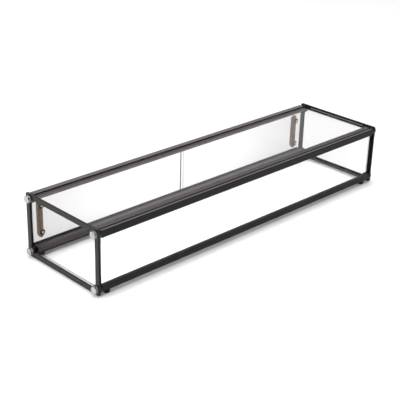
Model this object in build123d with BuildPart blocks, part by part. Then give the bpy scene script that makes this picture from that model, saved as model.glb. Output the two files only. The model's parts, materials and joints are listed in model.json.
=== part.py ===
import os

from build123d import *

# Countertop cake display case, in millimetres, +Z up, +X along its length, front towards -Y.
# Black aluminium end frames and rails hold clear panels, and two clear doors slide at the rear.
# The origin is on the counter, under the middle of the overall box, handles included.

# Overall sizes of the framework
case_length = 900.0
case_depth = 245.0
frame_height = 150.0
ground_gap = 2.5

# End frame bars: a flat face with a leg behind it that makes the rebate for the end panel
bar_width = 12.5
face_thickness = 4.0
leg_width = 3.0
leg_inset = 4.5
bar_edge = 0.6

# Corner connectors of the end frames
screw_inset = 10.5
screw_inset_height = 12.5
lobe_radius = 10.5
corner_radius = 4.0
corner_reach = 24.0
tongue_length = 12.0

# Glazing
panel_thickness = 4.0
base_thickness = 2.5
seal_thickness = 0.6
bed_thickness = 0.5
glazing_gap = 0.2
panel_edge = 0.4

# Rails: each is as high as rail_height, and its top or bottom sits back from the end frames
rail_height = 15.5
rail_depth = 25.5
rail_drop = 4.0
rail_rise = 8.5
rail_wall = 1.4
nose_radius = 2.6
lip_depth = 6.4
recess_width = 5.6
recess_depth = 1.8
rib_count = 8
rib_width = 0.9
rib_depth = 0.35
front_glass_setback = 5.4
front_groove_depth = 3.4
lower_groove_depth = 7.0
lower_lip_drop = 4.0
base_shelf_depth = 21.0
base_shelf_wall = 1.0
lower_groove_wall = 1.8
base_bite = 7.4
panel_bite = 8.2
panel_bed_rise = 9.5
seal_inset = 1.0
panel_end_gap = 0.4
chamber_radius = 0.8

# Door tracks in the two rear rails
track_wall = 1.6
track_divider = 1.4
inner_track_wall = 1.2
track_gap = 0.3
upper_track_depth = 3.8
lower_track_depth = 4.0
ledge_thickness = 1.2

# Doors
pane_thickness = 4.0
door_overlap = 15.0
door_end_gap = 0.6
door_top_gap = 0.4
glide_height = 1.5
glide_length = 24.0
glide_inset = 40.0
glide_gap = 0.3
glide_side_gap = 0.2

# Pull handles
handle_from_end = 35.0
handle_length = 92.0
handle_width = 11.0
handle_height = 10.5
handle_foot = 6.0
handle_slope = 6.0
handle_foot_reach = 2.8
handle_hole_spacing = 64.0
handle_core_width = 5.0
handle_core_depth = 6.5
handle_core_length = 50.0
scoop_radius = 7.0
scoop_bite = 1.1
scoop_height = 6.6
handle_round = 1.2

# Fasteners
screw_clearance = 0.1
cap_screw_diameter = 4.0
cap_screw_bite = 12.0
cap_diameter = 17.0
cap_collar = 1.6
cap_groove = 1.2
cap_groove_diameter = 12.5
cap_button = 4.7
cap_edge = 0.8
handle_screw_diameter = 4.0
handle_screw_bite = 5.0
handle_screw_head = 7.6
handle_screw_head_height = 2.4
handle_screw_edge = 0.9
washer_diameter = 13.0
washer_thickness = 1.0
pane_hole_clearance = 0.5

# Feet
foot_from_end = 27.0
foot_from_face = 10.5
foot_top_diameter = 15.5
foot_bottom_diameter = 14.0
foot_edge = 1.2
foot_recess_diameter = 8.4
foot_recess_depth = 3.4
foot_screw_diameter = 3.0
foot_screw_bite = 4.5
foot_screw_head = 7.0
foot_screw_head_height = 2.2
foot_screw_edge = 0.6

# Places worked out from the sizes above
leg_height = 2 * seal_thickness + panel_thickness + glazing_gap
end_thickness = face_thickness + leg_height
half_length = case_length / 2
rail_half = half_length - end_thickness
track_width = pane_thickness + 2 * track_gap
track_box = track_wall + 2 * track_width + track_divider + inner_track_wall
outer_pane_back = track_wall + track_gap
inner_pane_back = track_wall + track_width + track_divider + track_gap
handle_stand = handle_height - outer_pane_back
front_y = -(case_depth + handle_stand) / 2
rear_y = front_y + case_depth
bore_radius = cap_screw_diameter / 2 + screw_clearance
panel_start = leg_inset + leg_width + glazing_gap

top_rail_top = frame_height - rail_drop
top_rail_bottom = top_rail_top - rail_height
bottom_rail_top = rail_rise + rail_height
top_screw_height = frame_height - screw_inset_height
panel_bed = top_rail_bottom + panel_bed_rise
base_slot_bottom = rail_rise + base_shelf_wall
base_slot_top = base_slot_bottom + base_thickness + glazing_gap
front_seal_width = panel_thickness + 2 * bed_thickness
front_groove_width = front_seal_width + glazing_gap

door_width = rail_half - door_end_gap + door_overlap / 2
door_bottom = bottom_rail_top - lower_track_depth + glide_gap + glide_height
door_top = top_rail_bottom + upper_track_depth - door_top_gap
handle_x = half_length - handle_from_end
foot_x = half_length - foot_from_end
handle_z = (bottom_rail_top + top_rail_bottom) / 2

os.makedirs("parts", exist_ok=True)


def front(distance):
    """Y of a place this far behind the front face of the end frames."""
    return front_y + distance


def rear(distance):
    """Y of a place this far in front of the rear face of the end frames."""
    return rear_y - distance


def up(height):
    """Z of a place this high above the underside of the end frames."""
    return ground_gap + height


def save(piece, name):
    piece.label = name
    export_step(piece, f"parts/{name}.step")


def strip(place, near, far, low, high, mode=Mode.ADD):
    """A rectangle of a section, between two distances from the front or rear face and two heights."""
    with Locations((place((near + far) / 2), up((low + high) / 2))):
        Rectangle(far - near, high - low, mode=mode)


def chamber(place, near, far, low, high):
    """A hollow inside a rail's section, with rounded corners as the extrusion die leaves them."""
    with Locations((place((near + far) / 2), up((low + high) / 2))):
        RectangleRounded(far - near, high - low, chamber_radius, mode=Mode.SUBTRACT)


def screw_port(place, height):
    """The round port along a rail that the cap screws cut their thread in."""
    with Locations((place(screw_inset), up(height))):
        Circle(bore_radius, mode=Mode.SUBTRACT)


def inward(base, rise, low, high):
    """Two heights measured from the top or the bottom of the end frames, the lower one first."""
    return sorted((base + rise * low, base + rise * high))


def door_tracks(low, high):
    """The two grooves, one behind the other, that the door panes slide in."""
    outer = track_wall
    inner = outer + track_width + track_divider
    strip(rear, outer, outer + track_width, low, high, mode=Mode.SUBTRACT)
    strip(rear, inner, inner + track_width, low, high, mode=Mode.SUBTRACT)


# Front top rail: rounded nose, a recess behind it, then a ribbed flat over the slot for the top panel
with BuildPart() as front_top_rail:
    with BuildSketch(Plane.YZ) as section:
        strip(front, 0, rail_depth, top_rail_bottom, top_rail_top)
        nose = section.vertices().group_by(Axis.X)[0].sort_by(Axis.Y)[-1]
        fillet(nose, nose_radius)
        ribs_start = lip_depth + recess_width
        strip(front, lip_depth, ribs_start, top_rail_top - recess_depth, top_rail_top, Mode.SUBTRACT)
        rib_pitch = (rail_depth - ribs_start) / rib_count
        for rib in range(rib_count):
            groove_start = ribs_start + rib * rib_pitch
            groove_end = groove_start + rib_pitch - rib_width
            strip(front, groove_start, groove_end, top_rail_top - rib_depth, top_rail_top, Mode.SUBTRACT)
        slot_top = panel_bed + bed_thickness + panel_thickness + glazing_gap
        strip(front, rail_depth - panel_bite, rail_depth, panel_bed, slot_top, Mode.SUBTRACT)
        groove_far = front_glass_setback + front_groove_width
        groove_top = top_rail_bottom + front_groove_depth
        strip(front, front_glass_setback, groove_far, top_rail_bottom, groove_top, Mode.SUBTRACT)
        screw_port(front, top_screw_height)
        port_side = screw_inset - bore_radius - rail_wall
        chamber(front, rail_wall, port_side, groove_top + rail_wall, top_rail_top - rail_wall - nose_radius)
        port_far = screw_inset + bore_radius + rail_wall
        chamber(front, port_far, rail_depth - rail_wall, top_rail_bottom + rail_wall, panel_bed - rail_wall)
    extrude(amount=rail_half, both=True)
save(front_top_rail.part, "front_top_rail")

# Front bottom rail: a lip in front of the glass groove, and a low shelf behind with the base slot
with BuildPart() as front_bottom_rail:
    with BuildSketch(Plane.YZ) as section:
        groove_far = front_glass_setback + front_groove_width
        wall_far = groove_far + lower_groove_wall
        strip(front, 0, wall_far, rail_rise, bottom_rail_top)
        strip(front, wall_far, base_shelf_depth, rail_rise, base_slot_top + base_shelf_wall)
        strip(front, groove_far, wall_far, bottom_rail_top - lower_lip_drop, bottom_rail_top, Mode.SUBTRACT)
        groove_floor = bottom_rail_top - lower_groove_depth
        strip(front, front_glass_setback, groove_far, groove_floor, bottom_rail_top, Mode.SUBTRACT)
        slot_start = base_shelf_depth - base_bite
        strip(front, slot_start, base_shelf_depth, base_slot_bottom, base_slot_top, Mode.SUBTRACT)
        screw_port(front, screw_inset_height)
        port_side = screw_inset - bore_radius - rail_wall
        chamber(front, rail_wall, port_side, rail_rise + rail_wall, groove_floor - rail_wall)
    extrude(amount=rail_half, both=True)
    with BuildSketch(Plane.XY.offset(up(rail_rise))):
        with Locations(*[(side * foot_x, front(foot_from_face)) for side in (-1, 1)]):
            Circle(foot_screw_diameter / 2 + screw_clearance)
    extrude(amount=foot_screw_bite + glazing_gap, mode=Mode.SUBTRACT)
save(front_bottom_rail.part, "front_bottom_rail")

# Rear top rail: two door tracks open downward, and a thin ledge in front that the top panel lies on
with BuildPart() as rear_top_rail:
    with BuildSketch(Plane.YZ) as section:
        strip(rear, 0, track_box, top_rail_bottom, top_rail_top)
        strip(rear, track_box, rail_depth, panel_bed - ledge_thickness, panel_bed)
        door_tracks(top_rail_bottom, top_rail_bottom + upper_track_depth)
        screw_port(rear, top_screw_height)
        port_side = screw_inset - bore_radius - rail_wall
        chamber_low = top_rail_bottom + upper_track_depth + rail_wall
        chamber(rear, rail_wall, port_side, chamber_low, top_rail_top - rail_wall)
        mark = track_box / 2
        strip(rear, mark, mark + rib_width, top_rail_top - rib_depth, top_rail_top, Mode.SUBTRACT)
    extrude(amount=rail_half, both=True)
save(rear_top_rail.part, "rear_top_rail")

# Rear bottom rail: the same tracks open upward, a flat in front of them, and the base slot below it
with BuildPart() as rear_bottom_rail:
    with BuildSketch(Plane.YZ) as section:
        strip(rear, 0, rail_depth, rail_rise, bottom_rail_top)
        door_tracks(bottom_rail_top - lower_track_depth, bottom_rail_top)
        strip(rear, rail_depth - base_bite, rail_depth, base_slot_bottom, base_slot_top, Mode.SUBTRACT)
        screw_port(rear, screw_inset_height)
        port_side = screw_inset - bore_radius - rail_wall
        track_floor = bottom_rail_top - lower_track_depth
        chamber(rear, rail_wall, port_side, rail_rise + rail_wall, track_floor - rail_wall)
        chamber_low = base_slot_top + rail_wall
        chamber(rear, track_box + rail_wall, rail_depth - rail_wall, chamber_low, bottom_rail_top - rail_wall)
    extrude(amount=rail_half, both=True)
    with BuildSketch(Plane.XY.offset(up(rail_rise))):
        with Locations(*[(side * foot_x, rear(foot_from_face)) for side in (-1, 1)]):
            Circle(foot_screw_diameter / 2 + screw_clearance)
    extrude(amount=foot_screw_bite + glazing_gap, mode=Mode.SUBTRACT)
save(rear_bottom_rail.part, "rear_bottom_rail")

# The end frames: a face, and behind it the leg of the bars and the body of the corner connectors
corners = {
    "bottom_front": (front, 1, 0),
    "bottom_rear": (rear, 1, 0),
    "top_front": (front, -1, frame_height),
    "top_rear": (rear, -1, frame_height),
}


def end_sheet(margin, mode=Mode.ADD):
    """The outline of an end, this far in from the end frame's outer edge all round."""
    strip(front, margin, case_depth - margin, margin, frame_height - margin, mode)


def lobe_clearance(clearance):
    """Cuts the four corners of an end panel or seal clear of the lobes of the connectors."""
    for place, rise, base in corners.values():
        with Locations((place(screw_inset), up(base + rise * screw_inset_height))):
            Circle(lobe_radius + clearance, mode=Mode.SUBTRACT)


for side_name, side in (("left", -1), ("right", 1)):
    outer_face = Plane.YZ.offset(side * half_length)
    leg_face = Plane.YZ.offset(side * (half_length - face_thickness))

    # Top and bottom bars run from front to rear between the corner connectors
    for level_name, level in (("top", -1), ("bottom", 1)):
        base = frame_height if level < 0 else 0.0
        face_low, face_high = inward(base, level, 0, bar_width)
        leg_low, leg_high = inward(base, level, leg_inset, leg_inset + leg_width)
        with BuildPart() as end_bar:
            with BuildSketch(outer_face):
                strip(front, corner_reach, case_depth - corner_reach, face_low, face_high)
            extrude(amount=-side * face_thickness)
            long_edges = end_bar.faces().sort_by(Axis.X)[0 if side < 0 else -1].edges().filter_by(Axis.Y)
            chamfer(long_edges, bar_edge)
            with BuildSketch(leg_face):
                leg_start = corner_reach + tongue_length
                strip(front, leg_start, case_depth - leg_start, leg_low, leg_high)
            extrude(amount=-side * leg_height)
        save(end_bar.part, f"{side_name}_{level_name}_bar")

    # Front and rear posts stand between the corner connectors
    for post_name, place in (("front", front), ("rear", rear)):
        with BuildPart() as post:
            with BuildSketch(outer_face):
                strip(place, 0, bar_width, corner_reach, frame_height - corner_reach)
            extrude(amount=-side * face_thickness)
            long_edges = post.faces().sort_by(Axis.X)[0 if side < 0 else -1].edges().filter_by(Axis.Z)
            chamfer(long_edges, bar_edge)
            with BuildSketch(leg_face):
                leg_start = corner_reach + tongue_length
                strip(place, leg_inset, leg_inset + leg_width, leg_start, frame_height - leg_start)
            extrude(amount=-side * leg_height)
        save(post.part, f"{side_name}_{post_name}_post")

    # Corner connectors: an angle with a rounded corner and a round lobe for the cap screw, and behind
    # it the lobe's full depth and two tongues that lie in line with the legs of the bars
    for corner_name, (place, rise, base) in corners.items():
        lobe_place = (place(screw_inset), up(base + rise * screw_inset_height))
        with BuildPart() as corner:
            with BuildSketch(outer_face) as angle:
                strip(place, 0, corner_reach, *inward(base, rise, 0, bar_width))
                strip(place, 0, bar_width, *inward(base, rise, 0, corner_reach))
                outermost = Vector(place(0), up(base))
                fillet(angle.vertices().sort_by_distance(outermost)[0], corner_radius)
                with Locations(lobe_place):
                    Circle(lobe_radius)
                    Circle(bore_radius, mode=Mode.SUBTRACT)
            extrude(amount=-side * face_thickness)
            with BuildSketch(leg_face):
                leg_far = leg_inset + leg_width
                tongue_end = corner_reach + tongue_length
                strip(place, leg_inset, tongue_end, *inward(base, rise, leg_inset, leg_far))
                strip(place, leg_inset, leg_far, *inward(base, rise, leg_inset, tongue_end))
                with Locations(lobe_place):
                    Circle(lobe_radius)
                    Circle(bore_radius, mode=Mode.SUBTRACT)
            extrude(amount=-side * leg_height)
        save(corner.part, f"{side_name}_{corner_name}_corner")

    # End panel: its corners are cut round the lobes, and its edges sit in rubber channels behind the bars
    panel_outer = half_length - face_thickness - seal_thickness
    with BuildPart() as end_panel:
        with BuildSketch(Plane.YZ.offset(side * panel_outer)):
            end_sheet(panel_start + seal_thickness)
            lobe_clearance(glazing_gap)
        extrude(amount=-side * panel_thickness)
    save(end_panel.part, f"{side_name}_end_panel")

    with BuildPart() as end_seals:
        with BuildSketch(leg_face):
            end_sheet(panel_start)
            end_sheet(bar_width, Mode.SUBTRACT)
            lobe_clearance(glazing_gap)
        extrude(amount=-side * (panel_thickness + 2 * seal_thickness))
        with BuildSketch(Plane.YZ.offset(side * panel_outer)):
            end_sheet(panel_start + seal_thickness)
        extrude(amount=-side * panel_thickness, mode=Mode.SUBTRACT)
    save(end_seals.part, f"{side_name}_end_seals")

    # Cap screws: a polished button over a collar with a groove between them, on a plain shank
    with BuildPart() as cap_screws:
        cap_places = [(place(screw_inset), up(base + rise * screw_inset_height))
                      for place, rise, base in corners.values()]
        layers = (
            (0, cap_collar, cap_diameter),
            (cap_collar, cap_groove, cap_groove_diameter),
            (cap_collar + cap_groove, cap_button, cap_diameter),
        )
        for start, thickness, diameter in layers:
            with BuildSketch(Plane.YZ.offset(side * (half_length + start))):
                with Locations(*cap_places):
                    Circle(diameter / 2)
            extrude(amount=side * thickness)
        rims = cap_screws.faces().group_by(Axis.X)[0 if side < 0 else -1].edges()
        chamfer(rims, cap_edge)
        with BuildSketch(outer_face):
            with Locations(*cap_places):
                Circle(cap_screw_diameter / 2)
        extrude(amount=-side * (end_thickness + cap_screw_bite))
    save(cap_screws.part, f"{side_name}_cap_screws")

# Top panel: its front edge lies in the slot of the front rail, its rear edge on the rear ledge
panel_half = rail_half - panel_end_gap
with BuildPart() as top_panel:
    with BuildSketch(Plane.YZ):
        bed = panel_bed + bed_thickness
        far_edge = case_depth - track_box - glazing_gap
        strip(front, rail_depth - panel_bite + glazing_gap, far_edge, bed, bed + panel_thickness)
    extrude(amount=panel_half, both=True)
    chamfer(top_panel.edges().filter_by(Axis.X), panel_edge)
save(top_panel.part, "top_panel")

for seal_name, place, near, far in (
    ("top_front_seal", front, rail_depth - panel_bite + seal_inset, rail_depth - seal_inset),
    ("top_rear_seal", rear, track_box + seal_inset, rail_depth - seal_inset),
):
    with BuildPart() as panel_seal:
        with BuildSketch(Plane.YZ):
            strip(place, near, far, panel_bed, panel_bed + bed_thickness)
        extrude(amount=panel_half, both=True)
    save(panel_seal.part, seal_name)

# Front panel, and the two rubber channels that hold its lower and upper edges in the rails
glass_near = front_glass_setback + glazing_gap / 2 + bed_thickness
glass_low = bottom_rail_top - lower_groove_depth + bed_thickness
glass_high = top_rail_bottom + front_groove_depth - bed_thickness
with BuildPart() as front_panel:
    with BuildSketch(Plane.YZ):
        strip(front, glass_near, glass_near + panel_thickness, glass_low, glass_high)
    extrude(amount=panel_half, both=True)
    chamfer(front_panel.edges().filter_by(Axis.X), panel_edge)
save(front_panel.part, "front_panel")

for seal_name, edge, direction, cover in (
    ("front_lower_seal", glass_low, 1, lower_groove_depth - lower_lip_drop - bed_thickness),
    ("front_upper_seal", glass_high, -1, front_groove_depth - bed_thickness),
):
    seal_low, seal_high = sorted((edge - direction * bed_thickness, edge + direction * cover))
    glass_side, open_side = sorted((edge, edge + direction * cover))
    with BuildPart() as panel_channel:
        with BuildSketch(Plane.YZ):
            seal_near = glass_near - bed_thickness
            strip(front, seal_near, seal_near + front_seal_width, seal_low, seal_high)
            strip(front, glass_near, glass_near + panel_thickness, glass_side, open_side, Mode.SUBTRACT)
        extrude(amount=panel_half, both=True)
    save(panel_channel.part, seal_name)

# Base panel: lies in the slots of both bottom rails
with BuildPart() as base_panel:
    with BuildSketch(Plane.YZ):
        near_edge = base_shelf_depth - base_bite + glazing_gap
        far_edge = case_depth - rail_depth + base_bite - glazing_gap
        strip(front, near_edge, far_edge, base_slot_bottom, base_slot_bottom + base_thickness)
    extrude(amount=panel_half, both=True)
save(base_panel.part, "base_panel")

# Sliding doors: the left pane runs in the outer track and the right pane in the inner one
for side_name, side, pane_back in (("left", -1, outer_pane_back), ("right", 1, inner_pane_back)):
    back_face = Plane.XZ.offset(-rear(pane_back))
    door_centre = side * (rail_half - door_end_gap - door_width / 2)
    screw_places = [(side * handle_x, up(handle_z + way * handle_hole_spacing / 2)) for way in (-1, 1)]

    with BuildPart() as pane:
        with BuildSketch(back_face):
            with Locations((door_centre, up((door_bottom + door_top) / 2))):
                Rectangle(door_width, door_top - door_bottom)
            with Locations(*screw_places):
                Circle(handle_screw_diameter / 2 + pane_hole_clearance, mode=Mode.SUBTRACT)
        extrude(amount=pane_thickness)
        chamfer(pane.edges().filter_by(Axis.Z), panel_edge)
    save(pane.part, f"{side_name}_door_pane")

    # Glides: small plastic shoes that carry the pane in its track
    with BuildPart() as glides:
        with BuildSketch(Plane.XY.offset(up(door_bottom - glide_height))):
            glide_reach = door_width / 2 - glide_inset
            glide_y = rear(pane_back + pane_thickness / 2)
            with Locations((door_centre - glide_reach, glide_y), (door_centre + glide_reach, glide_y)):
                SlotOverall(glide_length, track_width - 2 * glide_side_gap)
        extrude(amount=glide_height)
    save(glides.part, f"{side_name}_door_glides")

    # Pull handle: rounded feet, a raised bar with sloping ends, a finger scoop along each side, and a
    # cored back between the two screws
    grip = Plane(origin=(side * handle_x, rear(pane_back), up(handle_z)), x_dir=(0, 0, 1), z_dir=(0, 1, 0))
    with BuildPart() as handle:
        with BuildSketch(grip):
            SlotOverall(handle_length, handle_width)
        extrude(amount=handle_height)
        rise_start = handle_length / 2 - handle_foot_reach
        rise_end = rise_start - handle_slope
        with BuildSketch(Plane.YZ.offset(side * handle_x - handle_width)):
            with BuildLine():
                Polyline(
                    (rear(pane_back), up(handle_z - handle_length)),
                    (rear(pane_back) + handle_foot, up(handle_z - handle_length)),
                    (rear(pane_back) + handle_foot, up(handle_z - rise_start)),
                    (rear(pane_back) + handle_height, up(handle_z - rise_end)),
                    (rear(pane_back) + handle_height, up(handle_z + rise_end)),
                    (rear(pane_back) + handle_foot, up(handle_z + rise_start)),
                    (rear(pane_back) + handle_foot, up(handle_z + handle_length)),
                    (rear(pane_back), up(handle_z + handle_length)),
                    close=True,
                )
            make_face()
        extrude(amount=2 * handle_width, mode=Mode.INTERSECT)
        crown = handle.faces().sort_by(Axis.Y)[-1].edges()
        fillet(crown, handle_round)
        scoop_offset = handle_width / 2 + scoop_radius - scoop_bite
        for way in (-1, 1):
            with BuildSketch(Plane.XY.offset(up(handle_z) - rise_end)):
                with Locations((side * handle_x + way * scoop_offset, rear(pane_back) + scoop_height)):
                    Circle(scoop_radius)
            extrude(amount=2 * rise_end, mode=Mode.SUBTRACT)
        with BuildSketch(grip):
            SlotOverall(handle_core_length, handle_core_width)
        extrude(amount=handle_core_depth, mode=Mode.SUBTRACT)
        with BuildSketch(grip):
            with Locations((-handle_hole_spacing / 2, 0), (handle_hole_spacing / 2, 0)):
                Circle(handle_screw_diameter / 2 + screw_clearance)
        extrude(amount=handle_screw_bite + glazing_gap, mode=Mode.SUBTRACT)
    save(handle.part, f"{side_name}_door_handle")

    # Washers and round-headed screws on the inside of the pane
    inner_face = Plane.XZ.offset(-rear(pane_back + pane_thickness))
    with BuildPart() as washers:
        with BuildSketch(inner_face):
            with Locations(*screw_places):
                Circle(washer_diameter / 2)
                Circle(handle_screw_diameter / 2 + screw_clearance, mode=Mode.SUBTRACT)
        extrude(amount=washer_thickness)
    save(washers.part, f"{side_name}_handle_washers")

    with BuildPart() as handle_screws:
        with BuildSketch(inner_face.offset(washer_thickness)):
            with Locations(*screw_places):
                Circle(handle_screw_head / 2)
        extrude(amount=handle_screw_head_height)
        domes = handle_screws.faces().group_by(Axis.Y)[0].edges()
        chamfer(domes, handle_screw_edge)
        with BuildSketch(inner_face.offset(washer_thickness)):
            with Locations(*screw_places):
                Circle(handle_screw_diameter / 2)
        extrude(amount=-(washer_thickness + pane_thickness + handle_screw_bite))
    save(handle_screws.part, f"{side_name}_handle_screws")

# Feet: tapered rubber, screwed up into the bottom rails through a recess in their underside
foot_height = up(rail_rise)
foot_places = [(side * foot_x, place(foot_from_face), name)
               for side, side_name in ((-1, "left"), (1, "right"))
               for place, name in ((front, f"front_{side_name}_foot"), (rear, f"rear_{side_name}_foot"))]
for foot_place_x, foot_place_y, foot_name in foot_places:
    with BuildPart() as foot:
        with BuildSketch(Plane(origin=(foot_place_x, foot_place_y, 0), x_dir=(1, 0, 0), z_dir=(0, -1, 0))):
            with BuildLine():
                hole = foot_screw_diameter / 2 + screw_clearance
                Polyline(
                    (foot_recess_diameter / 2, 0),
                    (foot_bottom_diameter / 2, 0),
                    (foot_top_diameter / 2, foot_height),
                    (hole, foot_height),
                    (hole, foot_recess_depth),
                    (foot_recess_diameter / 2, foot_recess_depth),
                    close=True,
                )
            make_face()
        revolve(axis=Axis((foot_place_x, foot_place_y, 0), (0, 0, 1)))
        tread = foot.faces().sort_by(Axis.Z)[0].edges().sort_by(SortBy.LENGTH)[-1]
        chamfer(tread, foot_edge)
    save(foot.part, foot_name)

with BuildPart() as foot_screws:
    spots = [(foot_place_x, foot_place_y) for foot_place_x, foot_place_y, foot_name in foot_places]
    with BuildSketch(Plane.XY.offset(foot_recess_depth)):
        with Locations(*spots):
            Circle(foot_screw_head / 2)
    extrude(amount=-foot_screw_head_height)
    heads = foot_screws.faces().group_by(Axis.Z)[0].edges()
    chamfer(heads, foot_screw_edge)
    with BuildSketch(Plane.XY.offset(foot_recess_depth)):
        with Locations(*spots):
            Circle(foot_screw_diameter / 2)
    extrude(amount=foot_height - foot_recess_depth + foot_screw_bite)
save(foot_screws.part, "foot_screws")
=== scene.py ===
import json
import math

import bmesh
import bpy
from mathutils import Matrix, Vector


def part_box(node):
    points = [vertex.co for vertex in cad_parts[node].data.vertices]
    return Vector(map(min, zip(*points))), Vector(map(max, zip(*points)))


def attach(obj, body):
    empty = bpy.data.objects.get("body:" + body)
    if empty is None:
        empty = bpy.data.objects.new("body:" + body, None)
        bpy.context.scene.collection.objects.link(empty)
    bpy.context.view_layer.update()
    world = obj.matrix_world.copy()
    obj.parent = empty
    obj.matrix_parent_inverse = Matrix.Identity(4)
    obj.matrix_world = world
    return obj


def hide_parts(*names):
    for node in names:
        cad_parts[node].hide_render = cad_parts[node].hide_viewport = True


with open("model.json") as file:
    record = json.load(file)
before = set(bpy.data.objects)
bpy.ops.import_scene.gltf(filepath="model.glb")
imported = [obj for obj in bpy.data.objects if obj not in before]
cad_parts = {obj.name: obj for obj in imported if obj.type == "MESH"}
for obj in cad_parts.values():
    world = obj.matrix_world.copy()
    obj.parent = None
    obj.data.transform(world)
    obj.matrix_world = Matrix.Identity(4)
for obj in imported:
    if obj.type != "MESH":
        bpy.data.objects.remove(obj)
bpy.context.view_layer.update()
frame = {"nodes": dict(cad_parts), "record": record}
nodes = frame["nodes"]
body_of = {node: body for body, members in frame["record"]["behaviour"]["bodies"].items() for node in members}

# The photograph's viewpoint
# A long lens stands in front and to the left of the case, a good metre above the counter,
# and the picture is turned a little, as it is in the photograph.
CAMERA_PLACE = Vector((-1.5395, -1.5070, 1.0266))
CAMERA_YAW = math.radians(44.755)
CAMERA_DOWN = math.radians(24.645)
CAMERA_ROLL = math.radians(1.659)
CAMERA_LENS = 89.5
forward = Vector((math.sin(CAMERA_YAW) * math.cos(CAMERA_DOWN),
                  math.cos(CAMERA_YAW) * math.cos(CAMERA_DOWN),
                  -math.sin(CAMERA_DOWN)))
level_right = Vector((math.cos(CAMERA_YAW), -math.sin(CAMERA_YAW), 0))
level_up = level_right.cross(forward)
camera_right = math.cos(CAMERA_ROLL) * level_right + math.sin(CAMERA_ROLL) * level_up
camera_up = camera_right.cross(forward)
camera = bpy.data.objects.new("camera", bpy.data.cameras.new("camera"))
camera.data.lens = CAMERA_LENS
camera.data.sensor_width = 36
camera.location = CAMERA_PLACE
camera.rotation_mode = "QUATERNION"
camera.rotation_quaternion = Matrix((camera_right, camera_up, -forward)).transposed().to_quaternion()
bpy.context.scene.collection.objects.link(camera)
bpy.context.scene.camera = camera
bpy.context.scene.view_settings.view_transform = "Standard"


# The counter and the studio
# A plain white counter in pale surroundings, under a broad soft light overhead and a weaker one at the
# left, as in a catalogue picture.
FLOOR_SIZE = 30
FLOOR_WHITE = (0.97, 0.97, 0.97, 1)
SURROUNDINGS = 0.82


def new_material(name):
    """A material with its node tree and its Principled shader."""
    material = bpy.data.materials.new(name)
    material.use_nodes = True
    return material, material.node_tree, material.node_tree.nodes["Principled BSDF"]


floor_shape = bmesh.new()
bmesh.ops.create_grid(floor_shape, x_segments=1, y_segments=1, size=FLOOR_SIZE / 2)
floor_mesh = bpy.data.meshes.new("counter")
floor_shape.to_mesh(floor_mesh)
floor_shape.free()
counter = bpy.data.objects.new("counter", floor_mesh)
bpy.context.scene.collection.objects.link(counter)
counter_white, _, counter_shader = new_material("counter_white")
counter_shader.inputs["Base Color"].default_value = FLOOR_WHITE
counter_shader.inputs["Roughness"].default_value = 0.7
counter_shader.inputs["Specular IOR Level"].default_value = 0.1
floor_mesh.materials.append(counter_white)

world = bpy.data.worlds.new("studio")
world.use_nodes = True
world.node_tree.nodes["Background"].inputs["Color"].default_value = (1, 1, 1, 1)
world.node_tree.nodes["Background"].inputs["Strength"].default_value = SURROUNDINGS
bpy.context.scene.world = world

for lamp_name, lamp_place, lamp_size, lamp_watts in (
    ("overhead_softbox", (-0.2, 0.1, 2.6), 3.0, 40),
    ("left_softbox", (-2.6, 0.3, 1.3), 1.6, 22),
):
    lamp = bpy.data.lights.new(lamp_name, "AREA")
    lamp.shape = "SQUARE"
    lamp.size = lamp_size
    lamp.energy = lamp_watts
    softbox = bpy.data.objects.new(lamp_name, lamp)
    softbox.location = lamp_place
    softbox.rotation_mode = "QUATERNION"
    softbox.rotation_quaternion = Vector(lamp_place).to_track_quat("Z", "Y")
    bpy.context.scene.collection.objects.link(softbox)


# Rails
# Four long hollow extrusions of black anodised aluminium, with a fine drawn grain along them. Their sharp
# die edges are broken by a hair, and screws through the end frames hold their ends. Faces that look up
# carry a mask that is partly dust and partly a painted sheen: plum-grey and strong on the upper pair,
# olive and faint on the nearly clean lower pair. The front top rail's recess and nose are left without
# it, a painted shade, and the rear bottom rail's inner faces that look forward or up are a lighter
# plum-grey, a painted reflection.
RAIL_BLACK = (0.006, 0.006, 0.0065, 1)
RAIL_GRAIN = (0.015, 0.0145, 0.0155, 1)
# Dust tones that also stand for a painted sheen on faces that look up.
PLUM_DUST_AND_SHEEN = (0.37, 0.325, 0.345, 1)
OLIVE_DUST_AND_SHEEN = (0.33, 0.32, 0.27, 1)
GRAIN_ACROSS = 1400
GRAIN_ALONG = 26
GRAIN_SPREAD = (0.3, 0.7)
DUST_AND_SHEEN_TURN = (0.55, 1.0)
DUST_AND_SHEEN_SPREAD = (0.25, 0.75)
DUST_AND_SHEEN_THINNEST = 0.8
WEAR_SPREAD = (0.42, 0.62)
RAIL_EDGE = 0.00012
BARE_METAL = (0.30, 0.30, 0.31, 1)
WELD = 1e-6
FLAT_ANGLE = 1
SHARP_ANGLE = 35


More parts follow.
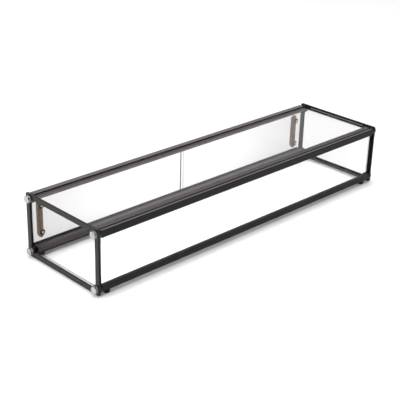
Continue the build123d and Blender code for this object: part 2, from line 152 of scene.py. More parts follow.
def softened(node, edge_width, segments=2, angle=SHARP_ANGLE):
    """A copy of a CAD piece with its loose triangles merged, its sharp edges broken and its curves smooth."""
    shape = bmesh.new()
    shape.from_mesh(nodes[node].data)
    bmesh.ops.remove_doubles(shape, verts=shape.verts, dist=WELD)
    bmesh.ops.dissolve_limit(shape, angle_limit=math.radians(FLAT_ANGLE), verts=shape.verts,
                             edges=shape.edges)
    sharp = [edge for edge in shape.edges
             if edge.is_manifold and edge.calc_face_angle() > math.radians(angle)]
    made = bmesh.ops.bevel(shape, geom=sharp, offset=edge_width, offset_type="OFFSET", segments=segments,
                           profile=0.5, affect="EDGES", material=-1, clamp_overlap=True)
    rim_faces = set(made["faces"])
    rim = shape.verts.layers.float.new("rim")
    for vertex in shape.verts:
        vertex[rim] = 1.0 if all(face in rim_faces for face in vertex.link_faces) else 0.0
    for face in shape.faces:
        face.smooth = True
    mesh = bpy.data.meshes.new(node + "_finished")
    shape.to_mesh(mesh)
    shape.free()
    mesh.set_sharp_from_angle(angle=math.radians(angle))
    piece = bpy.data.objects.new(node + "_finished", mesh)
    bpy.context.scene.collection.objects.link(piece)
    weighted = piece.modifiers.new("weighted", "WEIGHTED_NORMAL")
    weighted.keep_sharp = True
    return piece


def stand_in(piece, node, *materials):
    """Lets a finished piece stand for a CAD node: gives it its materials, puts it on the node's body and
    hides the node.
    """
    for material in materials:
        piece.data.materials.append(material)
    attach(piece, body_of[node])
    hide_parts(node)


def new_group(name, inputs, outputs):
    """A shader node group with named inputs and outputs, and its two end nodes."""
    group = bpy.data.node_groups.new(name, "ShaderNodeTree")
    for socket, start in inputs:
        made = group.interface.new_socket(socket, in_out="INPUT", socket_type="NodeSocketFloat")
        made.default_value = start
    for socket in outputs:
        group.interface.new_socket(socket, in_out="OUTPUT", socket_type="NodeSocketFloat")
    return group, group.nodes.new("NodeGroupInput"), group.nodes.new("NodeGroupOutput")


def noise_of(tree, place, scale, detail):
    """A noise over the given coordinates; its scale may be a number or another node's output."""
    noise = tree.nodes.new("ShaderNodeTexNoise")
    noise.inputs["Detail"].default_value = detail
    tree.links.new(place, noise.inputs["Vector"])
    if isinstance(scale, (int, float)):
        noise.inputs["Scale"].default_value = scale
    else:
        tree.links.new(scale, noise.inputs["Scale"])
    return noise.outputs["Fac"]


def ranged(tree, value, start, end, low=0.0, high=1.0):
    """Stretches the part of a value between start and end to run from low to high, and clamps the rest."""
    spread = tree.nodes.new("ShaderNodeMapRange")
    for socket, bound in (("From Min", start), ("From Max", end), ("To Min", low), ("To Max", high)):
        if isinstance(bound, (int, float)):
            spread.inputs[socket].default_value = bound
        else:
            tree.links.new(bound, spread.inputs[socket])
    tree.links.new(value, spread.inputs["Value"])
    return spread.outputs["Result"]


def product(tree, first, second):
    """Multiplies two values."""
    times = tree.nodes.new("ShaderNodeMath")
    times.operation = "MULTIPLY"
    tree.links.new(first, times.inputs[0])
    tree.links.new(second, times.inputs[1])
    return times.outputs["Value"]


def marked(tree, mark):
    """Reads a mark that a mesh carries on its vertices."""
    attribute = tree.nodes.new("ShaderNodeAttribute")
    attribute.attribute_name = mark
    return attribute.outputs["Fac"]


def uneven(tree, value, strength, depth):
    """A surface that rises and falls with a value."""
    height = tree.nodes.new("ShaderNodeBump")
    height.inputs["Strength"].default_value = strength
    height.inputs["Distance"].default_value = depth
    tree.links.new(value, height.inputs["Height"])
    return height.outputs["Normal"]


def grain_group():
    """Brushed or drawn grain: a noise pulled out along one axis, as a mask and a roughness."""
    group, start, end = new_group(
        "drawn_grain",
        (("Stretch X", 1.0), ("Stretch Y", 1.0), ("Stretch Z", 1.0), ("Smoothest", 0.3), ("Roughest", 0.45)),
        ("Mask", "Roughness"))
    place = group.nodes.new("ShaderNodeTexCoord")
    stretch = group.nodes.new("ShaderNodeCombineXYZ")
    scaled = group.nodes.new("ShaderNodeVectorMath")
    scaled.operation = "MULTIPLY"
    link = group.links.new
    for axis in "XYZ":
        link(start.outputs["Stretch " + axis], stretch.inputs[axis])
    link(place.outputs["Object"], scaled.inputs[0])
    link(stretch.outputs["Vector"], scaled.inputs[1])
    lines = noise_of(group, scaled.outputs["Vector"], scale=1, detail=3)
    link(lines, end.inputs["Mask"])
    link(ranged(group, lines, *GRAIN_SPREAD, start.outputs["Smoothest"], start.outputs["Roughest"]),
         end.inputs["Roughness"])
    return group


def dust_and_sheen_group():
    """Fine dust with a painted sheen: thickest on faces that look up, which it lightens as if lit from above,
    and broken up by a soft noise.
    """
    group, start, end = new_group("dust_and_top_sheen", (("Amount", 0.2), ("Scale", 60.0)), ("Mask",))
    place = group.nodes.new("ShaderNodeTexCoord")
    facing = group.nodes.new("ShaderNodeSeparateXYZ")
    link = group.links.new
    link(place.outputs["Normal"], facing.inputs["Vector"])
    level = ranged(group, facing.outputs["Z"], *DUST_AND_SHEEN_TURN)
    cloud = noise_of(group, place.outputs["Object"], start.outputs["Scale"], detail=4)
    dust_and_sheen_layer = product(group, level, ranged(group, cloud, *DUST_AND_SHEEN_SPREAD, low=DUST_AND_SHEEN_THINNEST))
    link(product(group, dust_and_sheen_layer, start.outputs["Amount"]), end.inputs["Mask"])
    return group


def wear_group():
    """Edge wear: the broken edges of a piece, picked out in patches by a noise."""
    group, start, end = new_group("edge_wear", (("Amount", 0.5), ("Scale", 220.0)), ("Mask",))
    place = group.nodes.new("ShaderNodeTexCoord")
    cloud = noise_of(group, place.outputs["Object"], start.outputs["Scale"], detail=3)
    worn = product(group, marked(group, "rim"), ranged(group, cloud, *WEAR_SPREAD))
    group.links.new(product(group, worn, start.outputs["Amount"]), end.inputs["Mask"])
    return group


DRAWN_GRAIN = grain_group()
DUST_AND_TOP_SHEEN = dust_and_sheen_group()
EDGE_WEAR = wear_group()


def place_group(tree, group, **values):
    """Places a node group in a material and sets its inputs; an underscore stands for a space."""
    placed = tree.nodes.new("ShaderNodeGroup")
    placed.node_tree = group
    for socket, value in values.items():
        placed.inputs[socket.replace("_", " ")].default_value = value
    return placed


def colour_mix(tree, factor, first, second):
    """Mixes two colours by a factor; each may be a colour value or another node's output."""
    mix = tree.nodes.new("ShaderNodeMix")
    mix.data_type = "RGBA"
    tree.links.new(factor, mix.inputs["Factor"])
    for socket, colour in (("A", first), ("B", second)):
        if isinstance(colour, tuple):
            mix.inputs[socket].default_value = colour
        else:
            tree.links.new(colour, mix.inputs[socket])
    return mix.outputs["Result"]


def anodised(name, dark, light, stretch, smoothest=0.26, roughest=0.42, dust_and_sheen=0.03, dust_and_sheen_tone=OLIVE_DUST_AND_SHEEN,
             wear=0.25, specular=0.11):
    """Anodised aluminium: drawn grain under fine dust and a painted sheen on faces that look up, with the
    bare metal just showing at its edges.
    """
    material, tree, shader = new_material(name)
    grain = place_group(tree, DRAWN_GRAIN, Stretch_X=stretch[0], Stretch_Y=stretch[1], Stretch_Z=stretch[2],
                        Smoothest=smoothest, Roughest=roughest)
    dust_and_sheen_layer = place_group(tree, DUST_AND_TOP_SHEEN, Amount=dust_and_sheen, Scale=45.0)
    worn = place_group(tree, EDGE_WEAR, Amount=wear, Scale=260.0)
    metal = colour_mix(tree, grain.outputs["Mask"], dark, light)
    edged = colour_mix(tree, worn.outputs["Mask"], metal, BARE_METAL)
    with_dust_and_sheen = colour_mix(tree, dust_and_sheen_layer.outputs["Mask"], edged, dust_and_sheen_tone)
    drawn = uneven(tree, grain.outputs["Mask"], strength=0.2, depth=0.0001)
    tree.links.new(with_dust_and_sheen, shader.inputs["Base Color"])
    tree.links.new(grain.outputs["Roughness"], shader.inputs["Roughness"])
    tree.links.new(drawn, shader.inputs["Normal"])
    shader.inputs["Specular IOR Level"].default_value = specular
    return material


def refinish(piece, material, low, high, facing):
    """Gives another material to the faces that turn one way and have their middle inside a box."""
    if material.name not in piece.data.materials:
        piece.data.materials.append(material)
    index = piece.data.materials.find(material.name)
    for polygon in piece.data.polygons:
        inside = all(start <= place <= stop for start, place, stop in zip(low, polygon.center, high))
        if inside and polygon.normal.dot(facing) > TURNED_TO:
            polygon.material_index = index


ALONG = (GRAIN_ALONG, GRAIN_ACROSS, GRAIN_ACROSS)
# A lighter plum-grey for the rear bottom rail's inner faces, a painted reflection.
INNER_SHEEN_BLACK = (0.039, 0.031, 0.034, 1)
INNER_SHEEN_GRAIN = (0.056, 0.045, 0.049, 1)
UP = Vector((0, 0, 1))
TO_FRONT = Vector((0, -1, 0))
TURNED_TO = 0.7
LIP_DEPTH = 0.0064
HOLLOW_WIDTH = 0.0056
NOSE_RADIUS = 0.0026
TRACKS_DEPTH = 0.0114
sheen_and_dust_black = anodised("anodised_top_rails", RAIL_BLACK, RAIL_GRAIN, ALONG, dust_and_sheen=0.36, dust_and_sheen_tone=PLUM_DUST_AND_SHEEN)
low_sheen_black = anodised("anodised_bottom_rails", RAIL_BLACK, RAIL_GRAIN, ALONG)
inner_sheen_black = anodised("anodised_inner_sheen", INNER_SHEEN_BLACK, INNER_SHEEN_GRAIN, ALONG, dust_and_sheen_tone=PLUM_DUST_AND_SHEEN)
for rail, finish in (
    ("front_top_rail", sheen_and_dust_black),
    ("rear_top_rail", sheen_and_dust_black),
    ("front_bottom_rail", low_sheen_black),
    ("rear_bottom_rail", low_sheen_black),
):
    piece = softened(rail, RAIL_EDGE)
    stand_in(piece, rail, finish)
    low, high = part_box(rail)
    # The recess and the nose of the front top rail lose the painted sheen and stay dark, a painted shade.
    if rail == "front_top_rail":
        hollow_start = low[1] + LIP_DEPTH
        refinish(piece, low_sheen_black, (low[0], hollow_start, low[2]),
                 (high[0], hollow_start + HOLLOW_WIDTH, high[2]), UP)
        refinish(piece, low_sheen_black, low, (high[0], low[1] + NOSE_RADIUS, high[2]), UP)
    # The rear bottom rail's inner faces that look forward or up are painted lighter, a painted reflection.
    if rail == "rear_bottom_rail":
        inner_high = (high[0], high[1] - TRACKS_DEPTH, high[2])
        refinish(piece, inner_sheen_black, low, inner_high, TO_FRONT)
        refinish(piece, inner_sheen_black, low, inner_high, UP)


# Bars and posts of the end frames
# Flat aluminium extrusions with a brushed, slightly greyer outer face. Their edges and the legs behind,
# which make the rebate for the end panel, are plain black. Connectors join them at the corners, and
# the upward faces of the far top bar's leg carry a painted plum-grey highlight.
FACE_BLACK = (0.014, 0.014, 0.0145, 1)
FACE_GRAIN = (0.036, 0.036, 0.037, 1)
BAR_EDGE = 0.00025
OUTWARD = 0.9
PLATE_TOP = 0.001

for kind, stretch in (
    ("bar", (GRAIN_ACROSS, GRAIN_ALONG, GRAIN_ACROSS)),
    ("post", (GRAIN_ACROSS, GRAIN_ACROSS, GRAIN_ALONG)),
):
    brushed_face = anodised("brushed_face_" + kind, FACE_BLACK, FACE_GRAIN, stretch,
                            smoothest=0.3, roughest=0.5, dust_and_sheen=0.0, wear=0.2, specular=0.15)
    plain_edge = anodised("plain_edge_" + kind, RAIL_BLACK, RAIL_GRAIN, stretch, wear=0.1, specular=0.1)
    painted_sheen_edge = anodised("painted_sheen_edge_" + kind, RAIL_BLACK, RAIL_GRAIN, stretch,
                          dust_and_sheen=0.5, dust_and_sheen_tone=PLUM_DUST_AND_SHEEN, wear=0.1, specular=0.1)
    for node in [name for name in nodes if name.endswith("_" + kind)]:
        piece = softened(node, BAR_EDGE)
        stand_in(piece, node, painted_sheen_edge if node == "right_top_bar" else plain_edge, brushed_face)
        side = -1 if node.startswith("left") else 1
        for polygon in piece.data.polygons:
            polygon.material_index = 1 if polygon.normal.x * side > OUTWARD else 0
        # The far top bar's leg keeps a painted plum-grey highlight; its plate top goes back to plain black.
        if node == "right_top_bar":
            low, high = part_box(node)
            refinish(piece, plain_edge, (low[0], low[1], high[2] - PLATE_TOP),
                     (high[0], high[1], high[2] + PLATE_TOP), UP)


# Corner connectors
# Moulded angles in smooth gloss black, with a round lobe for the cap screw. Their tongues plug into the
# ends of a bar and a post, and the cap screw clamps them to the rail.
CORNER_EDGE = 0.00045
WEAR_LIFT = 4


def moulded(name, dark, light, roughness, wave_scale, bump, specular=0.5, dust_and_sheen=0.0, wear=0.0):
    """A moulded finish with a slight change of tone and a slightly uneven surface."""
    material, tree, shader = new_material(name)
    place = tree.nodes.new("ShaderNodeTexCoord")
    waves = noise_of(tree, place.outputs["Object"], wave_scale, detail=4)
    colour = colour_mix(tree, waves, dark, light)
    if wear:
        worn = place_group(tree, EDGE_WEAR, Amount=wear, Scale=200.0)
        rubbed = tuple(min(1.0, WEAR_LIFT * part) for part in light)
        colour = colour_mix(tree, worn.outputs["Mask"], colour, rubbed)
    # Dust, with a painted sheen, on faces that look up.
    if dust_and_sheen:
        dust_and_sheen_layer = place_group(tree, DUST_AND_TOP_SHEEN, Amount=dust_and_sheen, Scale=60.0)
        colour = colour_mix(tree, dust_and_sheen_layer.outputs["Mask"], colour, OLIVE_DUST_AND_SHEEN)
    tree.links.new(colour, shader.inputs["Base Color"])
    tree.links.new(uneven(tree, waves, bump, depth=0.0002), shader.inputs["Normal"])
    shader.inputs["Roughness"].default_value = roughness
    shader.inputs["Specular IOR Level"].default_value = specular
    return material


gloss_black = moulded("gloss_black_moulding", dark=(0.005, 0.005, 0.006, 1), light=(0.012, 0.012, 0.013, 1),
                      roughness=0.18, wave_scale=90, bump=0.06, specular=0.2, dust_and_sheen=0.03, wear=0.2)
for corner in [name for name in nodes if name.endswith("_corner")]:
    stand_in(softened(corner, CORNER_EDGE, segments=3), corner, gloss_black)


# Cap screws
# Turned from bar and brushed across the face: a collar, a narrow groove and a button with a coarse knurl
# round its wall and a faintly crowned face. The broad brushed bands are partly a painted diagonal
# highlight, and the knurl's grooves are painted dark, a painted shade. A plain shank runs through the
# connector into the rail.
CAP_RADIUS = 0.0085
CAP_COLLAR = 0.0016
CAP_GROOVE = 0.0012
CAP_GROOVE_RADIUS = 0.00625
CAP_HEIGHT = 0.0075
CAP_CROWN = 0.00035
CROWN_POINTS = ((0.9, 0.86), (0.5, 0.66), (0.12, 0.35), (0, 0))
CAP_RIM = 0.0005
CAP_STEPS = 90
KNURL_PITCH = 5
KNURL_DEPTH = 0.0009
SHANK_RADIUS = 0.002
CAP_FROM_EDGE = 0.0105
CAP_FROM_LEVEL = 0.0125
BRUSH_AND_HIGHLIGHT_STRETCH = (60, 480, 60)
RING_SHARE = 0.35


def turned(profile, place, direction, steps):
    """Spins a profile of (height, radius) points round a line through a place, as a lathe does."""
    shape = bmesh.new()
    out = Vector(direction)
    across = out.orthogonal().normalized()
    points = [shape.verts.new(Vector(place) + height * out + radius * across) for height, radius in profile]
    edges = [shape.edges.new(pair) for pair in zip(points, points[1:])]
    bmesh.ops.spin(shape, geom=points + edges, cent=place, axis=out, dvec=(0, 0, 0),
                   angle=math.tau, steps=steps, use_merge=True, use_duplicate=False)
    bmesh.ops.remove_doubles(shape, verts=shape.verts, dist=WELD)
    bmesh.ops.recalc_face_normals(shape, faces=shape.faces)
    ring = shape.verts.layers.float.new("ring")
    hollow = shape.verts.layers.float.new("hollow")
    for vertex in shape.verts:
        vertex[ring] = (vertex.co - Vector(place)).cross(out).length
        vertex[hollow] = 0.0
    for face in shape.faces:
        face.smooth = True
    return shape


def joined(name, shapes):
    """One piece made of several shapes that lie apart."""
    whole = bmesh.new()
    for shape in shapes:
        part = bpy.data.meshes.new("part")
        shape.to_mesh(part)
        shape.free()
        whole.from_mesh(part)
        bpy.data.meshes.remove(part)
    mesh = bpy.data.meshes.new(name)
    whole.to_mesh(mesh)
    whole.free()
    mesh.set_sharp_from_angle(angle=math.radians(SHARP_ANGLE))
    piece = bpy.data.objects.new(name, mesh)
    bpy.context.scene.collection.objects.link(piece)
    return piece


def knurled(shape, place, direction, wall_start, wall_end):
    """Cuts V grooves along a turned wall: every few points round it are drawn in towards the axis."""
    out = Vector(direction)
    across = out.orthogonal().normalized()
    along = out.cross(across)
    hollow = shape.verts.layers.float["hollow"]
    for vertex in shape.verts:
        arm = vertex.co - Vector(place)
        height = arm.dot(out)
        if wall_start < height < wall_end and arm.cross(out).length > CAP_RADIUS - 2 * CAP_RIM:
            turn = math.atan2(arm.dot(along), arm.dot(across)) / math.tau * CAP_STEPS
            if round(turn) % KNURL_PITCH == 0:
                vertex.co -= (arm - height * out).normalized() * KNURL_DEPTH
                # Marks the groove for painted shade.
                vertex[hollow] = 1.0
    return shape


def turned_metal(name, dark, light, roughness, rings, brush_and_highlight_turn, tones, hollow_shade):
    """Bare metal with the rings that turning leaves, brushed one way across in broad bands that are partly a
    painted highlight, and with painted shade in its hollows.
    """
    material, tree, shader = new_material(name)
    fine = tree.nodes.new("ShaderNodeTexNoise")
    fine.noise_dimensions = "1D"
    fine.inputs["Scale"].default_value = rings
    fine.inputs["Detail"].default_value = 2
    place = tree.nodes.new("ShaderNodeTexCoord")
    brush_and_highlight = tree.nodes.new("ShaderNodeMapping")
    brush_and_highlight.inputs["Rotation"].default_value = brush_and_highlight_turn
    brush_and_highlight.inputs["Scale"].default_value = BRUSH_AND_HIGHLIGHT_STRETCH
    both = tree.nodes.new("ShaderNodeMath")
    both.operation = "MULTIPLY_ADD"
    both.inputs[1].default_value = RING_SHARE
    link = tree.links.new
    link(marked(tree, "ring"), fine.inputs["W"])
    link(place.outputs["Object"], brush_and_highlight.inputs["Vector"])
    link(fine.outputs["Fac"], both.inputs[0])
    link(noise_of(tree, brush_and_highlight.outputs["Vector"], scale=1, detail=3), both.inputs[2])
    metal = colour_mix(tree, ranged(tree, both.outputs["Value"], *tones), dark, light)
    link(colour_mix(tree, marked(tree, "hollow"), metal, hollow_shade), shader.inputs["Base Color"])
    link(ranged(tree, fine.outputs["Fac"], 0.0, 1.0, *roughness), shader.inputs["Roughness"])
    link(uneven(tree, both.outputs["Value"], strength=0.3, depth=0.00004), shader.inputs["Normal"])
    shader.inputs["Metallic"].default_value = 1.0
    return material


# The caps' brushed bands are partly a painted highlight; their knurl grooves get painted shade.
cap_metal = turned_metal("turned_cap_metal", dark=(0.22, 0.22, 0.225, 1), light=(0.68, 0.68, 0.68, 1),
                         roughness=(0.16, 0.36), rings=5200, brush_and_highlight_turn=(math.radians(40), 0, 0),
                         tones=(0.44, 0.92), hollow_shade=(0.015, 0.015, 0.016, 1))
cap_profile = (
    (0, SHANK_RADIUS),
    (0, CAP_RADIUS),
    (CAP_COLLAR - CAP_RIM / 2, CAP_RADIUS),
    (CAP_COLLAR, CAP_RADIUS - CAP_RIM / 2),
    (CAP_COLLAR, CAP_GROOVE_RADIUS),
    (CAP_COLLAR + CAP_GROOVE, CAP_GROOVE_RADIUS),
    (CAP_COLLAR + CAP_GROOVE, CAP_RADIUS - CAP_RIM),
    (CAP_COLLAR + CAP_GROOVE + CAP_RIM, CAP_RADIUS),
    (CAP_HEIGHT - CAP_CROWN - CAP_RIM, CAP_RADIUS),
    (CAP_HEIGHT - CAP_CROWN, CAP_RADIUS - CAP_RIM),
) + tuple((CAP_HEIGHT - drop * CAP_CROWN, reach * CAP_RADIUS) for drop, reach in CROWN_POINTS)
for side_name, side in (("left", -1), ("right", 1)):
    post_low, post_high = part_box(side_name + "_front_post")
    rear_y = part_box(side_name + "_rear_post")[1][1]
    bottom_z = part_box(side_name + "_bottom_bar")[0][2]
    top_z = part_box(side_name + "_top_bar")[1][2]
    caps_low, caps_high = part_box(side_name + "_cap_screws")
    face_x = post_low[0] if side < 0 else post_high[0]
    shank_length = abs((caps_high[0] if side < 0 else caps_low[0]) - face_x)
    shank = ((-shank_length, 0), (-shank_length, SHANK_RADIUS))
    cap_places = [(face_x, cap_y, cap_z)
                  for cap_y in (post_low[1] + CAP_FROM_EDGE, rear_y - CAP_FROM_EDGE)
                  for cap_z in (bottom_z + CAP_FROM_LEVEL, top_z - CAP_FROM_LEVEL)]
    caps = [knurled(turned(shank + cap_profile, place, (side, 0, 0), CAP_STEPS), place, (side, 0, 0),
                    CAP_COLLAR + CAP_GROOVE - CAP_RIM / 4, CAP_HEIGHT - CAP_CROWN + CAP_RIM / 4)
            for place in cap_places]
    stand_in(joined(side_name + "_cap_buttons", caps), side_name + "_cap_screws", cap_metal)


# Clear panels
# Clear sheet, 4 mm thick and 2.5 mm at the base, with polished edges and a touch wavy. It sits in the
# grooves of the rails and in the rebates of the end frames, the two doors slide in the rear tracks, and
# the top panel has a faint plum tint. The door panes grow greyer towards their two ends, a painted
# reflection, and the right pane's edges are painted black, a painted shade along the doors' seam.
CLEAR_TINT = (0.97, 0.97, 0.97, 1)
TOP_TINT = (0.98, 0.965, 0.972, 1)
END_TINT = (0.86, 0.86, 0.86, 1)
DOOR_TINT = (0.95, 0.95, 0.95, 1)
# Grey for the door panes' ends, a painted reflection.
DOOR_END_REFLECTION = (0.68, 0.68, 0.68, 1)
EDGE_TINT = (0.50, 0.48, 0.42, 1)
BASE_EDGE = (0.2, 0.19, 0.16, 1)
# Black edges for the right door pane, a painted shade along the doors' seam.
SEAM_SHADE_EDGE = (0.001, 0.001, 0.001, 1)
SHADOW_TINT = (0.95, 0.95, 0.95, 1)
REFLECTION_START = 0.16
REFLECTION_END = 0.44
EDGE_START = 0.95
EDGE_END = 0.5
GLOSS_IOR = 1.45


def dress(node, material):
    """Gives a CAD node one material."""
    slots = nodes[node].data.materials
    slots.clear()
    slots.append(material)


def size_of(tree, direction, axis):
    """How far a direction or a place reaches along an axis, without its sign."""
    apart = tree.nodes.new("ShaderNodeSeparateXYZ")
    unsigned = tree.nodes.new("ShaderNodeMath")
    unsigned.operation = "ABSOLUTE"
    tree.links.new(direction, apart.inputs["Vector"])
    tree.links.new(apart.outputs[axis], unsigned.inputs[0])
    return unsigned.outputs["Value"]


def clear_sheet(name, facing, tint, sheen, edge_tint=EDGE_TINT, end_reflection_tint=None):
    """Thin clear sheet: seen straight through, with its gloss as a coat and its cut edges a shade darker.
    One with an end reflection tint grows greyer towards its two ends, a painted reflection."""
    material, tree, shader = new_material(name)
    place = tree.nodes.new("ShaderNodeTexCoord")
    waves = noise_of(tree, place.outputs["Object"], scale=7, detail=1)
    seen = tree.nodes.new("ShaderNodeLightPath")
    clear = tree.nodes.new("ShaderNodeBsdfTransparent")
    clear.inputs["Color"].default_value = SHADOW_TINT
    mix = tree.nodes.new("ShaderNodeMixShader")
    link = tree.links.new
    link(uneven(tree, waves, strength=0.05, depth=0.001), shader.inputs["Coat Normal"])
    if end_reflection_tint:
        end_reflection = ranged(tree, size_of(tree, place.outputs["Object"], "X"), REFLECTION_START, REFLECTION_END)
        tint = colour_mix(tree, end_reflection, tint, end_reflection_tint)
    edge = ranged(tree, size_of(tree, place.outputs["Normal"], facing), EDGE_START, EDGE_END)
    link(colour_mix(tree, edge, tint, edge_tint), shader.inputs["Base Color"])
    link(seen.outputs["Is Shadow Ray"], mix.inputs["Fac"])
    link(shader.outputs["BSDF"], mix.inputs[1])
    link(clear.outputs["BSDF"], mix.inputs[2])
    link(mix.outputs["Shader"], tree.nodes["Material Output"].inputs["Surface"])
    shader.inputs["Roughness"].default_value = 0.0
    shader.inputs["IOR"].default_value = 1.0
    shader.inputs["Transmission Weight"].default_value = 1.0
    shader.inputs["Coat Weight"].default_value = sheen
    shader.inputs["Coat Roughness"].default_value = 0.0
    shader.inputs["Coat IOR"].default_value = GLOSS_IOR
    return material


dress("front_panel", clear_sheet("clear_front_sheet", "Y", CLEAR_TINT, sheen=0.06))
dress("base_panel", clear_sheet("clear_base_sheet", "Z", CLEAR_TINT, sheen=0.4, edge_tint=BASE_EDGE))
dress("top_panel", clear_sheet("clear_top_sheet", "Z", TOP_TINT, sheen=0.5))
end_sheet = clear_sheet("clear_end_sheet", "X", END_TINT, sheen=0.08)
# Door panes: greyer ends are a painted reflection, and the right pane's black edges a painted shade.
for side, edge_tint in (("left", EDGE_TINT), ("right", SEAM_SHADE_EDGE)):
    dress(side + "_end_panel", end_sheet)
    dress(side + "_door_pane", clear_sheet(side + "_door_sheet", "Y", DOOR_TINT, sheen=0.25,
                                           edge_tint=edge_tint, end_reflection_tint=DOOR_END_REFLECTION))


# Pull handles
# Moulded in smoky brown plastic with rounded feet, a scoop along each side and a cored back. They stand a
# hair off the panes, and two plated screws with cross recesses hold each from inside, over black washers.
HANDLE_EDGE = 0.0006
ROUNDED_ANGLE = 28
HANDLE_SEAT = 0.0001
WASHER_EDGE = 0.0002
HEAD_RADIUS = 0.0038
HEAD_HEIGHT = 0.0024
HEAD_FLAT = 0.3
DOME_STEPS = 6
RECESS_LENGTH = 0.0042
RECESS_WIDTH = 0.0010
RECESS_DEPTH = 0.0013
RECESS_OVERCUT = 0.2
HEAD_STEPS = 32

smoky_brown = moulded("smoky_brown_plastic", dark=(0.260, 0.180, 0.115, 1), light=(0.360, 0.260, 0.175, 1),
                      roughness=0.3, wave_scale=60, bump=0.05, specular=0.3, wear=0.1)
smoky_shader = smoky_brown.node_tree.nodes["Principled BSDF"]
smoky_shader.inputs["Transmission Weight"].default_value = 0.6
smoky_shader.inputs["IOR"].default_value = 1.15
soft_black = moulded("black_rubber", dark=(0.003, 0.003, 0.003, 1), light=(0.008, 0.008, 0.008, 1),
                     roughness=0.55, wave_scale=500, bump=0.3, specular=0.12)
plated = turned_metal("plated_screw", dark=(0.46, 0.34, 0.21, 1), light=(0.80, 0.64, 0.43, 1),
                      roughness=(0.2, 0.36), rings=3000, brush_and_highlight_turn=(0, 0, math.radians(30)),
                      tones=(0.5, 0.9), hollow_shade=(0.03, 0.02, 0.012, 1))


def cross_headed(head_place, direction, shank_length, shank_radius, head_radius, head_height):
    """A round-headed screw: a domed head with a cross recess, and its plain shank."""
    dome = [(head_height * math.sin(turn), head_radius * (HEAD_FLAT + (1 - HEAD_FLAT) * math.cos(turn)))
            for turn in (math.radians(90 / DOME_STEPS * step) for step in range(DOME_STEPS + 1))]
    shank = [(-shank_length, 0), (-shank_length, shank_radius), (0, shank_radius)]
    shape = turned(shank + dome + [(head_height, 0)], head_place, direction, HEAD_STEPS)
    out = Vector(direction)
    across = out.orthogonal().normalized()
    centre = Vector(head_place) + (head_height - RECESS_DEPTH / 2) * out
    middle = Matrix.Translation(centre + 0.5 * RECESS_OVERCUT * RECESS_DEPTH * out)
    cutters = bmesh.new()
    for long_way in (across, out.cross(across)):
        short_way = out.cross(long_way)
        turn = Matrix((long_way, short_way, out)).transposed().to_4x4()
        size = Matrix.Diagonal((RECESS_LENGTH, RECESS_WIDTH, RECESS_DEPTH * (1 + RECESS_OVERCUT), 1))
        bmesh.ops.create_cube(cutters, size=1, matrix=middle @ turn @ size)
    return shape, cutters


def recessed(name, screws):
    """Cuts the cross recesses into a group of screws and leaves one plain mesh."""
    blanks = joined(name + "_blank", [shape for shape, cutters in screws])
    tool = joined(name + "_tool", [cutters for shape, cutters in screws])
    cut = blanks.modifiers.new("recess", "BOOLEAN")
    cut.operation = "DIFFERENCE"
    cut.solver = "EXACT"
    cut.use_self = True
    cut.object = tool
    bpy.context.view_layer.update()
    finished = bpy.data.meshes.new_from_object(blanks.evaluated_get(bpy.context.evaluated_depsgraph_get()))
    finished.name = name
    piece = bpy.data.objects.new(name, finished)
    bpy.context.scene.collection.objects.link(piece)
    for spare in (blanks, tool):
        bpy.data.objects.remove(spare)
    return piece


for side in ("left", "right"):
    handle = side + "_door_handle"
    washers = side + "_handle_washers"
    screws = side + "_handle_screws"
    grip = softened(handle, HANDLE_EDGE, segments=3, angle=ROUNDED_ANGLE)
    seat_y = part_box(handle)[0][1] + HANDLE_SEAT
    for vertex in grip.data.vertices:
        vertex.co.y = max(vertex.co.y, seat_y)
    stand_in(grip, handle, smoky_brown)
    stand_in(softened(washers, WASHER_EDGE), washers, soft_black)
    screw_low, screw_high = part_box(screws)
    head_y = screw_low[1] + HEAD_HEIGHT
    middle_x = (screw_low[0] + screw_high[0]) / 2
    pair = [cross_headed((middle_x, head_y, head_z), (0, -1, 0), screw_high[1] - head_y, SHANK_RADIUS,
                         HEAD_RADIUS, HEAD_HEIGHT)
            for head_z in (screw_low[2] + HEAD_RADIUS, screw_high[2] - HEAD_RADIUS)]
    stand_in(recessed(side + "_pull_screws", pair), screws, plated)


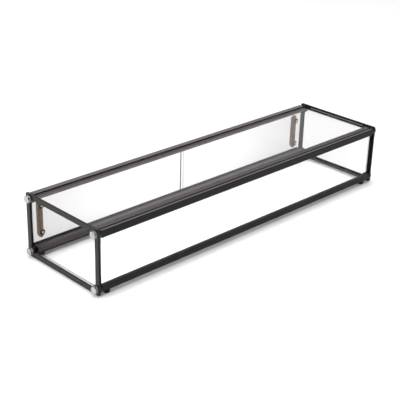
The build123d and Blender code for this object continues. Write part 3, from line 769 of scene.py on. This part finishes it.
# Door glides
# Shoes of grey low-friction plastic, two pushed on to the lower edge of each pane. They carry the pane
# on the floor of its track.
glide_grey = moulded("glide_plastic", dark=(0.16, 0.16, 0.16, 1), light=(0.24, 0.24, 0.24, 1),
                     roughness=0.45, wave_scale=300, bump=0.1)
for side in ("left", "right"):
    dress(side + "_door_glides", glide_grey)


# Seals
# Black rubber channels along the front panel's two long edges and plum-grey foam tape under the top one.
# The end panels sit in channels of smoke-tinted silicone, which hardly show beside the posts.
SEAL_EDGE = 0.0001
SILICONE_ALPHA = 0.08
foam_tape = moulded("foam_tape", dark=(0.165, 0.115, 0.133, 1), light=(0.220, 0.155, 0.178, 1),
                    roughness=0.6, wave_scale=900, bump=0.4, specular=0.15)
smoked_silicone = moulded("smoked_silicone", dark=(0.030, 0.027, 0.020, 1), light=(0.050, 0.045, 0.033, 1),
                          roughness=0.4, wave_scale=120, bump=0.1, specular=0.1)
smoked_silicone.node_tree.nodes["Principled BSDF"].inputs["Alpha"].default_value = SILICONE_ALPHA
for node in nodes:
    if node in ("top_front_seal", "top_rear_seal"):
        dress(node, foam_tape)
    elif node.endswith("_end_seals"):
        channel = softened(node, SEAL_EDGE)
        stand_in(channel, node, smoked_silicone)
    elif node.endswith("_seal"):
        dress(node, soft_black)


# Feet and foot screws
# Tapered buttons of black rubber under the four ends of the bottom rails. Each is held by a plated screw
# with a cross recess, up through its underside.
FOOT_EDGE = 0.0003
FOOT_SHANK_RADIUS = 0.0015
FOOT_HEAD_RADIUS = 0.0035
FOOT_HEAD_HEIGHT = 0.0022
feet = [node for node in nodes if node.endswith("_foot")]
screws_low, screws_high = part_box("foot_screws")
head_base = screws_low[2] + FOOT_HEAD_HEIGHT
foot_heads = []
for foot in feet:
    stand_in(softened(foot, FOOT_EDGE, angle=ROUNDED_ANGLE), foot, soft_black)
    low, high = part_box(foot)
    head_place = ((low[0] + high[0]) / 2, (low[1] + high[1]) / 2, head_base)
    foot_heads.append(cross_headed(head_place, (0, 0, -1), screws_high[2] - head_base, FOOT_SHANK_RADIUS,
                                   FOOT_HEAD_RADIUS, FOOT_HEAD_HEIGHT))
stand_in(recessed("foot_fixings", foot_heads), "foot_screws", plated)
